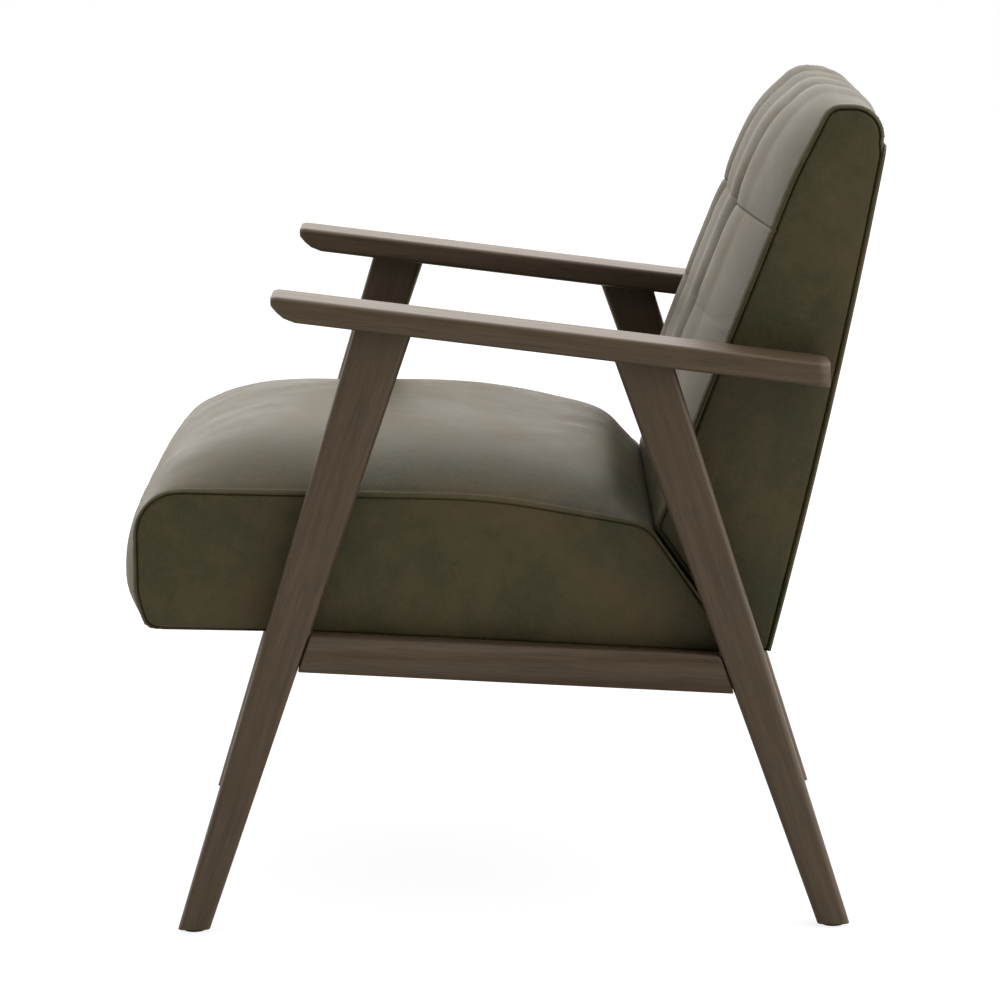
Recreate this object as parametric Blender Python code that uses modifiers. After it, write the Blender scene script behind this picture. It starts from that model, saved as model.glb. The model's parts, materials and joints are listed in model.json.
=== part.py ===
"""Open-arm lounge chair: two raked wooden side frames with a sprung, leather-covered seat and back between them.

X runs across the chair, the sitter faces -Y and Z is up. "Left" is the sitter's left, at +X.
The origin is on the floor, below the middle of the chair's outline in plan.
"""

import math

import bmesh
import bpy
import numpy as np

# Fits
fit_gap = 0.0003  # between two pieces that touch
padding_gap = 0.0022  # between a cover and the foam under it

# Overall
chair_width = 0.664

# Armrests: planks that slope down to the rear
arm_width = 0.066
arm_thickness = 0.0225
arm_height = 0.5775  # of the top face, halfway between the feet
arm_slope = 0.132
arm_front = -0.218
arm_rear = 0.297
arm_nose_rise = 0.013  # how far the underside sweeps up at the front tip
arm_nose_length = 0.022
arm_edge = 0.004

# Legs: both rake towards the middle and taper towards the foot
leg_thickness = 0.032
leg_foot_width = 0.030
leg_taper = 0.0435  # extra width per metre of height
foot_reach = 0.3028  # from the middle to each foot's centre
leg_lean = 0.329
leg_edge = 0.006
glide_height = 0.003
glide_radius = 0.011
glide_nail_radius = 0.0012
glide_nail_length = 0.014

# Arm dowels
dowel_radius = 0.005
dowel_in_leg = 0.024
dowel_in_arm = 0.013

# Side rails and the two cross rails under the seat
rail_height = 0.034
rail_top = 0.2720  # halfway between the feet
rail_slope = 0.060
rail_setback = 0.003  # from the legs' outer faces
rail_edge = 0.002
tenon_thickness = 0.011
tenon_height = 0.022
tenon_length = 0.018
cross_rail_width = 0.024
cross_rail_drop = 0.033
cross_tenon_length = 0.014
front_cross_rail_setback = 0.0424  # behind the front legs, at the rails' top
rear_cross_rail_setback = 0.0644  # ahead of the rear legs

# Seat box, at its side seams
seat_clearance = 0.0027  # to the legs on each side
seat_front = -0.3525
seat_side_height = 0.4190
seat_front_lift = 0.0043  # of the underside's front end above the bend
seat_front_tuck = 0.013  # how far the side seam draws back at the front bottom corner
seat_bend = -0.200  # the underside is level ahead of here and follows the rails behind it
rail_overlap = 0.0015  # how far the seat's underside is below the rails' top edges
seat_top_break = -0.020
seat_rear_top_y = 0.130
seat_rear_drop = 0.038  # of the rear top edge below the seat's side height
seat_rear_foot = 0.215
seat_crown = 0.050
seat_front_crown = 0.0175
cover_thickness = 0.002
welt_radius = 0.0018

# Seat frame and springs
board = 0.022
seat_frame_height = 0.052
front_padding = 0.021
rear_board_y = 0.125
spring_wire_radius = 0.0019
spring_count = 4
spring_reach = 0.020
spring_waves = 10
dust_cover_thickness = 0.001

# Back, at its side seams
back_clearance = 0.0013  # to the armrests' inner edges
back_drop = 0.005  # of the back's bottom below the seat's rear foot
back_height = 0.770
back_foot = 0.2446  # of the rear edge, at the bottom
back_lean = 0.2247
back_bow = 0.0055
back_upper_thickness = 0.083
back_middle_thickness = 0.113
back_lower_thickness = 0.130
rear_seam_drop = 0.038  # from the top of the back to the piping that crosses its rear
back_crown = 0.029
back_rear_crown = 0.005
seat_to_back_gap = 0.0015
piping_radius = 0.0024

# Back frame and webbing
stile_width = 0.024
stile_depth = 0.028
stile_setback = 0.0075  # from the back's rear edge
stile_lift = 0.0244  # from the back's bottom
stile_drop = 0.048  # from the top of the back
back_top_rail_height = 0.045
back_bottom_rail_lift = (0.0324, 0.0974)
web_thickness = 0.0015
web_width = 0.050
web_count = 3

# Bolts
bolt_radius = 0.003
bolt_head_radius = 0.0055
bolt_head_height = 0.004
seat_bolt_length = 0.062
back_bolt_radius = 0.004
back_bolt_head_radius = 0.0068
back_bolt_head_height = 0.005
back_bolt_drop = 0.013  # from the seat frame's top edge
back_bolt_reach = 0.120
hole_clearance = 0.0004

# Places worked out from the sizes above
arm_middle_x = chair_width / 2 - arm_width / 2
leg_inner_x = arm_middle_x - leg_thickness / 2
leg_outer_x = arm_middle_x + leg_thickness / 2
rail_outer_x = leg_outer_x - rail_setback
rail_thickness = rail_outer_x - leg_inner_x
seat_half = leg_inner_x - seat_clearance
back_half = chair_width / 2 - arm_width - back_clearance
cover_inside = cover_thickness + fit_gap
foam_inset = cover_thickness + padding_gap
seat_rear_top = (seat_rear_top_y, seat_side_height - seat_rear_drop)
seat_front_bottom = rail_top - rail_slope * seat_bend - rail_overlap + seat_front_lift
seat_corner_z = rail_top - rail_slope * seat_rear_foot - rail_overlap
back_bottom = seat_corner_z - back_drop
back_bottom_rail = [back_bottom + lift for lift in back_bottom_rail_lift]
stile_bottom = back_bottom + stile_lift
rear_seam_height = back_height - rear_seam_drop
stile_top = back_height - stile_drop
SIDES = (("left", 1), ("right", -1))


# ---------------------------------------------------------------- scene and materials

for old in list(bpy.data.objects):
    bpy.data.objects.remove(old, do_unlink=True)

chair = bpy.data.collections.new("lounge_chair")
cutters = bpy.data.collections.new("cutters")
bpy.context.scene.collection.children.link(chair)
bpy.context.scene.collection.children.link(cutters)


def material(name, colour, roughness, metallic=0.0):
    made = bpy.data.materials.new(name)
    made.use_nodes = True
    shader = made.node_tree.nodes["Principled BSDF"]
    shader.inputs["Base Color"].default_value = (*colour, 1.0)
    shader.inputs["Roughness"].default_value = roughness
    shader.inputs["Metallic"].default_value = metallic
    return made


stained_wood = material("stained_wood", (0.080, 0.060, 0.048), 0.45)
plain_wood = material("plain_wood", (0.50, 0.36, 0.22), 0.7)
leather = material("leather", (0.055, 0.058, 0.036), 0.42)
foam = material("foam", (0.75, 0.70, 0.55), 0.95)
spring_steel = material("spring_steel", (0.45, 0.45, 0.46), 0.35, 1.0)
bolt_steel = material("bolt_steel", (0.60, 0.60, 0.62), 0.3, 1.0)
webbing = material("webbing", (0.12, 0.11, 0.10), 0.9)
dust_cloth = material("dust_cloth", (0.03, 0.03, 0.03), 0.95)
nylon = material("nylon", (0.05, 0.05, 0.05), 0.5)


# ---------------------------------------------------------------- outlines in the (y, z) plane


def moved(points):
    """The points with the whole chair shifted so that its outline is centred."""
    return [(y + depth_shift, z) for y, z in points]


def filleted(corners, radii, steps=5):
    """An open line through the corners, each inner corner rounded with its own radius."""
    corners = [np.array(corner, float) for corner in corners]
    line = [corners[0]]
    for before, corner, after, radius in zip(corners, corners[1:], corners[2:], radii):
        back_way = (before - corner) / np.linalg.norm(before - corner)
        on_way = (after - corner) / np.linalg.norm(after - corner)
        half_angle = math.acos(np.clip(back_way @ on_way, -1, 1)) / 2
        centre_way = (back_way + on_way) / np.linalg.norm(back_way + on_way)
        centre = corner + centre_way * radius / math.sin(half_angle)
        start = corner + back_way * radius / math.tan(half_angle) - centre
        end = corner + on_way * radius / math.tan(half_angle) - centre
        sweep = math.pi - 2 * half_angle
        for step in range(steps + 1):
            share = step / steps
            arc = (math.sin((1 - share) * sweep) * start + math.sin(share * sweep) * end) / math.sin(sweep)
            line.append(centre + arc)
    line.append(corners[-1])
    return np.array(line)


def smoothed(points, steps=3):
    """An open Catmull-Rom line through the points."""
    points = np.array(points, float)
    padded = np.vstack([2 * points[0] - points[1], points, 2 * points[-1] - points[-2]])
    line = []
    for a, b, c, d in zip(padded, padded[1:], padded[2:], padded[3:]):
        for step in range(steps):
            t = step / steps
            line.append(0.5 * (2 * b + (c - a) * t + (2 * a - 5 * b + 4 * c - d) * t**2 + (3 * b - a - 3 * c + d) * t**3))
    line.append(points[-1])
    return np.array(line)


def outward(line):
    """Normals on the left of an open line as it runs, which is outside for a line run over a cushion.

    At a corner they are longer than 1, so that an offset keeps its distance from both sides.
    """
    run = np.diff(line, axis=0)
    run /= np.linalg.norm(run, axis=1)[:, None]
    before, after = np.vstack([run[:1], run]), np.vstack([run, run[-1:]])
    middle = before + after
    middle /= np.linalg.norm(middle, axis=1)[:, None]
    stretch = 1 / np.sum(middle * after, axis=1)
    return np.column_stack([-middle[:, 1], middle[:, 0]]) * stretch[:, None]


def offset(line, distance):
    return line + outward(line) * distance


def along(line):
    """How far each point is along the line, from 0 to 1."""
    steps = np.linalg.norm(np.diff(line, axis=0), axis=1)
    return np.concatenate([[0], np.cumsum(steps)]) / steps.sum()


def divided(line, longest):
    """The line with extra points, so that no stretch is longer than this."""
    points = [line[0]]
    for start, end in zip(line, line[1:]):
        count = math.ceil(np.linalg.norm(end - start) / longest)
        points += [start + (end - start) * step / count for step in range(1, count + 1)]
    return np.array(points)


def arm_top_z(y):
    return arm_height - arm_slope * y


def rail_top_z(y):
    return rail_top - rail_slope * y


def seat_bottom_z(y):
    """Underside of the seat: level at the front, then just below the rails' top edges."""
    at_bend = rail_top_z(seat_bend) - rail_overlap
    if y <= seat_bend:
        share = (seat_bend - y) / (seat_bend - seat_front)
        return at_bend + (seat_front_bottom - at_bend) * share
    return rail_top_z(y) - rail_overlap


def leg_edges_y(z, end):
    """The two edges of a leg at height z. end is -1 for a front leg and 1 for a rear one."""
    centre = end * (foot_reach - leg_lean * z)
    half = (leg_foot_width + leg_taper * z) / 2
    return centre - half, centre + half


front_cross_rail_y = leg_edges_y(rail_top, -1)[1] + front_cross_rail_setback
rear_cross_rail_y = leg_edges_y(rail_top, 1)[0] - rear_cross_rail_setback


def back_edge_y(z):
    share = (z - back_bottom) / (back_height - back_bottom)
    return back_foot + back_lean * (z - back_bottom) + back_bow * 4 * share * (1 - share)


def spread(columns):
    """Places across a cushion from -1 to 1, closer together at the sides, where a crown bends most."""
    return [math.sin((column / columns - 0.5) * math.pi) for column in range(columns + 1)]


def swollen(line, crown_at, crown_size, across, inset=0.0):
    """A seam line pushed outwards by the crown at one place across the chair, less an inset."""
    size = np.interp(along(line), crown_at, crown_size) * (1 - across**4)
    return line + outward(line) * (size - inset)[:, None]


# The seat's side seam, from under the front edge, over the top and down to the rear foot.
seat_seam = filleted(
    [
        (seat_front + front_padding - 0.001, seat_bottom_z(seat_front + front_padding)),
        (seat_front + seat_front_tuck, seat_front_bottom),
        (seat_front, seat_front_bottom + 0.031),
        (seat_front, seat_side_height),
        (seat_top_break, seat_side_height - 0.0105),
        seat_rear_top,
        (seat_rear_foot, seat_corner_z),
    ],
    [0.005, 0.060, 0.042, 0.600, 0.035],
)
seat_seam = divided(seat_seam, 0.035)

# How much the seat's cover swells in the middle, along that seam.
# The table's places are shares of the seam as drawn, with its two upper corners where drawn_corner_shares says.
drawn_corner_shares = (0.1648, 0.7988)
drawn_seam_length = 0.7545
past_corner = 0.03
seat_front_crown_at = (0.00, 0.02, 0.05, 0.085, 0.12, 0.15, 0.175, 0.19)
seat_front_crown_size = seat_front_crown * np.array((0.0, 0.35, 0.9, 1.1, 0.85, 0.25, 0.02, 0.12))
seat_top_crown_at = (
    0.205, 0.22, 0.24, 0.265, 0.30, 0.35, 0.42, 0.52, 0.62, 0.73, 0.765, 0.785, 0.797, 0.807, 0.82, 1.00,
)
seat_top_crown_size = seat_crown * np.array(
    (0.12, 0.32, 0.57, 0.79, 0.95, 1.01, 1.01, 1.05, 1.0, 0.91, 0.78, 0.46, 0.12, 0.0, 0.0, 0.0)
)
seat_seam_length = np.linalg.norm(np.diff(seat_seam, axis=0), axis=1).sum()
seat_corner_shares = [
    along(seat_seam)[np.argmin(np.linalg.norm(seat_seam - corner, axis=1))]
    for corner in ((seat_front, seat_side_height), seat_rear_top)
]
seat_crown_at = np.interp(
    (*seat_front_crown_at, *seat_top_crown_at),
    (0.0, *drawn_corner_shares, drawn_corner_shares[1] + past_corner, 1.0),
    (0.0, *seat_corner_shares, seat_corner_shares[1] + past_corner * drawn_seam_length / seat_seam_length, 1.0),
)
seat_crown_size = np.array((*seat_front_crown_size, *seat_top_crown_size))

# The back's front seam, from the foot up the slope behind the seat, up the face and over the top.
slope_run = np.array([seat_rear_top[0] - seat_rear_foot, seat_rear_top[1] - seat_corner_z])
slope_run /= np.linalg.norm(slope_run)
slope_gap = np.array([slope_run[1], -slope_run[0]]) * seat_to_back_gap
slope_foot = np.array([seat_rear_foot, seat_corner_z]) + slope_gap + slope_run * 0.002
knee_z = seat_rear_top[1] - 0.006
knee = slope_foot + slope_run * (knee_z - slope_foot[1]) / slope_run[1]
back_rise = back_height - knee_z
back_face = [knee]
for share, thickness in (
    (0.14, back_lower_thickness),
    (0.25, 0.97 * back_lower_thickness),
    (0.44, back_middle_thickness),
    (0.65, 0.5 * (back_middle_thickness + back_upper_thickness) - 0.001),
    (0.826, back_upper_thickness),
    (0.94, back_upper_thickness - 0.014),
):
    face_z = knee_z + back_rise * share
    back_face.append((back_edge_y(face_z) - thickness, face_z))
back_face = smoothed(back_face)
top_z = back_height + 0.001
last_run = back_face[-1] - back_face[-2]
top_front = back_face[-1] + last_run * (top_z - back_face[-1][1]) / last_run[1]
seam_inset = 2 * piping_radius + fit_gap  # from the rear edge to the covers that meet the piping
top_rear = (back_edge_y(top_z) - seam_inset, top_z)
cover_end_z = rear_seam_height + piping_radius + 0.0015
cover_end = (back_edge_y(cover_end_z) - seam_inset + 0.001, cover_end_z)
back_top = filleted([back_face[-1], top_front, top_rear, cover_end], [0.017, 0.029])
back_seam = divided(np.vstack([[slope_foot], back_face, back_top[1:]]), 0.045)
knee_share = np.linalg.norm(knee - slope_foot) / np.linalg.norm(np.diff(back_seam, axis=0), axis=1).sum()
above_knee = np.array((0.0, 0.057, 0.146, 0.261, 0.427, 0.669, 0.745, 0.803, 0.837, 0.860, 0.879, 0.911, 0.936, 1.0))
back_crown_at = (0.0, *(knee_share + (1 - knee_share) * above_knee))
back_crown_size = back_crown * np.array(
    (0.0, 0.0, 0.20, 0.80, 0.96, 1.0, 1.0, 1.0, 0.88, 0.58, 0.29, 0.15, 0.07, 0.02, 0.0)
)

# The origin is below the middle of the outline in plan, so everything moves along Y by this much.
outline_front = swollen(seat_seam, seat_crown_at, seat_crown_size, 0)[:, 0].min()
outline_rear = back_edge_y(rear_seam_height)
depth_shift = -(outline_front + outline_rear) / 2


# ---------------------------------------------------------------- making solids


def stood(outline, x, thickness):
    """A flat outline in (y, z), extruded across X, as a mesh and its matrix."""
    curve = bpy.data.curves.new("outline", "CURVE")
    curve.dimensions = "2D"
    curve.fill_mode = "BOTH"
    curve.extrude = thickness / 2
    spline = curve.splines.new("POLY")
    spline.points.add(len(outline) - 1)
    for point, (y, z) in zip(spline.points, moved(outline)):
        point.co = (y, z, 0, 1)
    spline.use_cyclic_u = True
    guide = bpy.data.objects.new("outline", curve)
    guide.rotation_euler = (math.pi / 2, 0, math.pi / 2)
    guide.location.x = x
    bpy.context.scene.collection.objects.link(guide)
    bpy.context.view_layer.update()
    graph = bpy.context.evaluated_depsgraph_get()
    mesh = bpy.data.meshes.new_from_object(guide.evaluated_get(graph))
    matrix = guide.matrix_world.copy()
    bpy.data.objects.remove(guide)
    body = bmesh.new()
    body.from_mesh(mesh)
    bmesh.ops.remove_doubles(body, verts=body.verts, dist=1e-6)
    bmesh.ops.recalc_face_normals(body, faces=body.faces)
    body.to_mesh(mesh)
    body.free()
    return mesh, matrix


def placed(name, mesh, finish, matrix=None):
    piece = bpy.data.objects.new(name, mesh)
    mesh.name = name
    mesh.materials.clear()
    mesh.materials.append(finish)
    chair.objects.link(piece)
    if matrix is not None:
        piece.matrix_world = matrix
    mesh.shade_smooth()
    mesh.set_sharp_from_angle(angle=math.radians(40))
    return piece


def plank(name, outline, x, thickness, finish, edge=0.0, keep_square=None):
    """A sawn board with rounded edges. keep_square says which edges stay sharp, by their ends in the outline's plane."""
    mesh, matrix = stood(outline, x, thickness)
    if edge:
        body = bmesh.new()
        body.from_mesh(mesh)
        bmesh.ops.dissolve_limit(body, angle_limit=0.001, verts=body.verts, edges=body.edges)
        sharp = [
            item
            for item in body.edges
            if item.is_manifold
            and item.calc_face_angle(0) > math.radians(35)
            and not (keep_square and keep_square(item))
        ]
        bmesh.ops.bevel(body, geom=sharp, offset=edge, segments=2, profile=0.5, affect="EDGES")
        bmesh.ops.triangulate(body, faces=body.faces)
        body.to_mesh(mesh)
        body.free()
    return placed(name, mesh, finish, matrix)


def helper(name, mesh, matrix=None):
    """A solid that only cuts or joins another."""
    tool = bpy.data.objects.new(name, mesh)
    tool.hide_render = True
    tool.display_type = "WIRE"
    cutters.objects.link(tool)
    if matrix is not None:
        tool.matrix_world = matrix
    return tool


def boolean(piece, tool, operation="DIFFERENCE"):
    step = piece.modifiers.new(tool.name, "BOOLEAN")
    step.operation = operation
    step.object = tool
    step.solver = "EXACT"


def block_tool(name, outline, x, thickness):
    return helper(name, *stood(outline, x, thickness))


def rod_mesh(radius, length, sides=16):
    body = bmesh.new()
    bmesh.ops.create_cone(
        body, cap_ends=True, segments=sides, radius1=radius, radius2=radius, depth=length
    )
    mesh = bpy.data.meshes.new("rod")
    body.to_mesh(mesh)
    body.free()
    return mesh


def rod_tool(name, radius, start, end):
    """A round cutter between two points that differ along one axis."""
    start, end = np.array(start, float), np.array(end, float)
    tool = helper(name, rod_mesh(radius, float(np.linalg.norm(end - start))))
    tool.location = (start + end) / 2
    if abs(end[1] - start[1]) > 1e-6:
        tool.rotation_euler.x = math.pi / 2
    return tool


def turned(name, profile, finish, place, turn=(0, 0, 0), steps=16):
    """A profile of (radius, height) points, run down its outer side, spun about Z."""
    mesh = bpy.data.meshes.new(name)
    mesh.from_pydata([(r, 0, z) for r, z in profile], [(i, i + 1) for i in range(len(profile) - 1)], [])
    piece = placed(name, mesh, finish)
    spin = piece.modifiers.new("turn", "SCREW")
    spin.steps = spin.render_steps = steps
    spin.use_merge_vertices = True
    spin.merge_threshold = 0.00001
    piece.location = place
    piece.rotation_euler = turn
    return piece


def bolt(name, place, turn, radius, length, head_radius, head_height):
    """A bolt along its local Z, its head at the bottom."""
    profile = [
        (0, length),
        (radius, length),
        (radius, 0),
        (head_radius, 0),
        (head_radius, -head_height),
        (0, -head_height),
    ]
    return turned(name, profile, bolt_steel, place, turn, steps=12)


def cover(name, line, crown_at, crown_size, half, narrower=None, columns=10):
    """Sheet leather along a line, swollen in the middle, as an open grid that Solidify makes a shell."""
    rows = len(line) - 1
    places = []
    for across in spread(columns):
        places.append([
            (across * (half - (narrower(z) if narrower else 0)), y, z)
            for y, z in moved(swollen(line, crown_at, crown_size, across))
        ])
    body = bmesh.new()
    bmesh.ops.create_grid(body, x_segments=columns, y_segments=rows, size=0.5)
    for vertex in body.verts:
        column = round((vertex.co.x + 0.5) * columns)
        row = round((vertex.co.y + 0.5) * rows)
        vertex.co = places[column][row]
    mesh = bpy.data.meshes.new(name)
    body.to_mesh(mesh)
    body.free()
    piece = placed(name, mesh, leather)
    shell = piece.modifiers.new("thickness", "SOLIDIFY")
    shell.thickness = cover_thickness
    shell.offset = -1
    shell.use_even_offset = True
    return piece


def lofted(name, sections, finish):
    """A closed solid through like-numbered loops of points."""
    body = bmesh.new()
    loops = [[body.verts.new(point) for point in section] for section in sections]
    for near, far in zip(loops, loops[1:]):
        for i in range(len(near)):
            j = (i + 1) % len(near)
            body.faces.new((near[i], near[j], far[j], far[i]))
    body.faces.new(loops[0])
    body.faces.new(loops[-1])
    bmesh.ops.triangulate(body, faces=body.faces)
    bmesh.ops.recalc_face_normals(body, faces=body.faces)
    mesh = bpy.data.meshes.new(name)
    body.to_mesh(mesh)
    body.free()
    return placed(name, mesh, finish)


def tube(name, points, radius, finish, resolution=1):
    curve = bpy.data.curves.new(name, "CURVE")
    curve.dimensions = "3D"
    curve.bevel_depth = radius
    curve.bevel_resolution = resolution
    curve.use_fill_caps = True
    spline = curve.splines.new("POLY")
    spline.points.add(len(points) - 1)
    for point, place in zip(spline.points, points):
        point.co = (*place, 1)
    piece = bpy.data.objects.new(name, curve)
    curve.materials.append(finish)
    chair.objects.link(piece)
    return piece


# ---------------------------------------------------------------- side frames


def leg(side, sign, end):
    """A raked, tapered leg, cut level at the foot and to the armrest's underside at the top."""
    place = "front" if end < 0 else "rear"
    top_guess = arm_top_z(0) - arm_thickness
    corners = []
    for which in (0, 1):
        z = top_guess
        for _ in range(8):
            z = arm_top_z(leg_edges_y(z, end)[which]) - arm_thickness - fit_gap
        corners.append((leg_edges_y(z, end)[which], z))
    foot = [(y, glide_height + fit_gap) for y in leg_edges_y(glide_height, end)]
    outline = [foot[0], foot[1], corners[1], corners[0]]
    low = glide_height + fit_gap + 0.001
    high = min(corners[0][1], corners[1][1]) - 0.001

    def at_an_end(edge):
        heights = [vertex.co.y for vertex in edge.verts]
        return max(heights) < low or min(heights) > high

    piece = plank(f"{side}_{place}_leg", outline, sign * arm_middle_x, leg_thickness, stained_wood, leg_edge, at_an_end)
    return piece, (corners[0][0] + corners[1][0]) / 2


def armrest(side, sign):
    """A plank with softened edges, its front underside swept up to a thin nose and its ends rounded in plan."""
    stations = (0.0, 0.03, 0.09, 0.20, 0.40, 0.65, 1.0)
    nose = [arm_front + arm_nose_length * share**1.5 for share in stations]
    tail = [arm_rear - 0.012 * (1 - share) ** 1.5 for share in (0.0, 0.4, 0.75, 1.0)]
    sections = []
    for y in nose + tail:
        from_nose = min(1.0, (y - arm_front) / arm_nose_length)
        to_tail = min(1.0, (arm_rear - y) / 0.012)
        to_nose = min(1.0, (y - arm_front) / 0.006)
        narrowing = 0.10 * (1 - to_nose) ** 2 + 0.22 * (1 - to_tail) ** 2
        half = arm_width / 2 * (1 - narrowing)
        top = arm_top_z(y) - 0.002 * (1 - to_nose) ** 2
        low = arm_top_z(y) - arm_thickness + arm_nose_rise * (1 - from_nose) ** 2
        edge = min(arm_edge, (top - low) * 0.4)
        loop = []
        for corner_x, corner_z, start in ((1, 1, 0), (-1, 1, 90), (-1, -1, 180), (1, -1, 270)):
            for step in (0, 45, 90):
                angle = math.radians(start + step)
                x = corner_x * (half - edge) + edge * math.cos(angle)
                middle = top - edge if corner_z > 0 else low + edge
                loop.append((sign * arm_middle_x + x, y + depth_shift, middle + edge * math.sin(angle)))
        sections.append(loop)
    return lofted(f"{side}_armrest", sections, stained_wood)


def side_rail(side, sign):
    """A rail between the legs, with a tenon at each end that fills the leg's mortise."""
    outline = []
    for top, end, which in ((False, -1, 1), (False, 1, 0), (True, 1, 0), (True, -1, 1)):
        z = rail_top
        for _ in range(8):
            y = leg_edges_y(z, end)[which] - end * fit_gap * 1.1
            z = rail_top_z(y) - (0 if top else rail_height)
        outline.append((y, z))
    x = sign * (leg_inner_x + rail_outer_x) / 2

    def at_an_end(edge):
        return abs(edge.verts[0].co.y - edge.verts[1].co.y) > 0.6 * rail_height

    return plank(f"{side}_side_rail", outline, x, rail_thickness, stained_wood, rail_edge, at_an_end)


def tenon_outline(end, gap):
    """A side rail's tenon, seen from the side, with a gap added all round. It starts inside the rail."""
    middle = rail_height / 2
    joint_y = leg_edges_y(rail_top - middle, end)[0 if end > 0 else 1]
    inner, outer = joint_y - end * 0.010, joint_y + end * (tenon_length + gap)
    half = tenon_height / 2 + gap
    lean = -end * leg_lean
    points = []
    for y, up in ((inner, -1), (outer, -1), (outer, 1), (inner, 1)):
        z = rail_top_z(y) - middle + up * half
        points.append((y + lean * up * half, z))
    return points


frames = {}
for side, sign in SIDES:
    rail = side_rail(side, sign)
    arm = armrest(side, sign)
    frames[side] = rail
    for end, place in ((-1, "front"), (1, "rear")):
        post, dowel_y = leg(side, sign, end)
        x = sign * arm_middle_x
        rail_middle_x = sign * (leg_inner_x + rail_outer_x) / 2
        tenon = block_tool(f"{side}_{place}_tenon", tenon_outline(end, 0), rail_middle_x, tenon_thickness)
        boolean(rail, tenon, "UNION")
        mortise = block_tool(
            f"{side}_{place}_mortise", tenon_outline(end, fit_gap), rail_middle_x, tenon_thickness + 2 * fit_gap
        )
        boolean(post, mortise)

        joint_z = arm_top_z(dowel_y) - arm_thickness
        low, high = joint_z - dowel_in_leg, joint_z + dowel_in_arm
        y = dowel_y + depth_shift
        hole = rod_tool(
            f"{side}_{place}_dowel_hole", dowel_radius + fit_gap, (x, y, low - fit_gap), (x, y, high + fit_gap)
        )
        boolean(post, hole)
        boolean(arm, hole)
        turned(
            f"{side}_{place}_arm_dowel",
            [(0, high - low), (dowel_radius - 0.001, high - low), (dowel_radius, high - low - 0.001),
             (dowel_radius, 0.001), (dowel_radius - 0.001, 0), (0, 0)],
            plain_wood,
            (x, y, low),
        )

        foot_y = sum(leg_edges_y(glide_height, end)) / 2 + depth_shift
        nail_hole = rod_tool(
            f"{side}_{place}_nail_hole",
            glide_nail_radius + fit_gap,
            (x, foot_y, 0),
            (x, foot_y, glide_height + glide_nail_length + fit_gap),
        )
        boolean(post, nail_hole)
        turned(
            f"{side}_{place}_glide",
            [(0, glide_height + glide_nail_length), (glide_nail_radius, glide_height + glide_nail_length - 0.002),
             (glide_nail_radius, glide_height), (glide_radius, glide_height), (glide_radius, 0.001),
             (glide_radius - 0.001, 0), (0, 0)],
            nylon,
            (x, foot_y, 0),
        )


def cross_rail(place, y):
    """A rail across the chair below the seat, tenoned into both side rails."""
    top = [(y + side * cross_rail_width / 2) for side in (-1, 1)]
    under_cloth = dust_cover_thickness + 3 * fit_gap
    upper = [(edge_y, seat_bottom_z(edge_y) - under_cloth) for edge_y in top]
    lower = [(edge_y, seat_bottom_z(y) - cross_rail_drop) for edge_y in top]
    outline = [lower[0], lower[1], upper[1], upper[0]]
    long_edges_only = lambda edge: (edge.verts[0].co - edge.verts[1].co).length < 0.1
    piece = plank(
        f"{place}_cross_rail", outline, 0, 2 * (leg_inner_x - fit_gap), stained_wood, rail_edge, long_edges_only
    )
    middle_z = seat_bottom_z(y) - cross_rail_drop / 2 - 0.001
    half_z, half_y = tenon_height / 2, cross_rail_width / 2 - 0.005

    def section(gap):
        return [
            (y - half_y - gap, middle_z - half_z - gap),
            (y + half_y + gap, middle_z - half_z - gap),
            (y + half_y + gap, middle_z + half_z + gap),
            (y - half_y - gap, middle_z + half_z + gap),
        ]

    for side, sign in SIDES:
        start, end = leg_inner_x - 0.006, leg_inner_x + cross_tenon_length
        tenon = block_tool(f"{side}_{place}_cross_tenon", section(0), sign * (start + end) / 2, end - start)
        boolean(piece, tenon, "UNION")
        end += fit_gap
        mortise = block_tool(f"{side}_{place}_cross_mortise", section(fit_gap), sign * (start + end) / 2, end - start)
        boolean(frames[side], mortise)
    return piece


cross_rails = {
    "front": cross_rail("front", front_cross_rail_y),
    "rear": cross_rail("rear", rear_cross_rail_y),
}


# ---------------------------------------------------------------- seat frame, springs and dust cover

frame_front = seat_front + front_padding
frame_half = seat_half - cover_inside - fit_gap


def frame_bottom_z(y):
    return seat_bottom_z(y) + fit_gap


def frame_top_z(y):
    return frame_bottom_z(y) + seat_frame_height


def rear_slope_y(z):
    """Just inside the leather that slopes down the rear of the seat."""
    inside = (cover_thickness + 2 * fit_gap) / slope_run[1]
    return seat_rear_foot + (z - seat_corner_z) * slope_run[0] / slope_run[1] - inside


board_end_low = rear_slope_y(seat_corner_z)
board_end_high = board_end_low
for _ in range(8):
    board_end_high = rear_slope_y(frame_top_z(board_end_high))
seat_sides = {}
for side, sign in SIDES:
    lower = [(y, frame_bottom_z(y)) for y in (frame_front, seat_bend, board_end_low)]
    upper = [(y, frame_top_z(y)) for y in (board_end_high, seat_bend, frame_front)]
    outline = lower + upper
    seat_sides[side] = plank(f"seat_frame_{side}", outline, sign * (frame_half - board / 2), board, plain_wood)

between = 2 * (frame_half - board - fit_gap)
seat_ends = {}
for place, start in (("front", frame_front), ("rear", rear_board_y)):
    ends = (start, start + board)
    outline = [(y, frame_bottom_z(y)) for y in ends] + [(y, frame_top_z(y)) for y in reversed(ends)]
    seat_ends[place] = plank(f"seat_frame_{place}", outline, 0, between, plain_wood)

spring_start = frame_front + board * 0.4
spring_end = rear_board_y + board * 0.6
lift = spring_wire_radius + fit_gap * 2


def spring_z(y):
    """The straight line on which the springs lie, from the front board's top to the rear board's."""
    front_z = frame_top_z(spring_start) + lift
    rear_z = frame_top_z(rear_board_y) + lift
    return front_z + (rear_z - front_z) * (y - spring_start) / (spring_end - spring_start)


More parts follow.
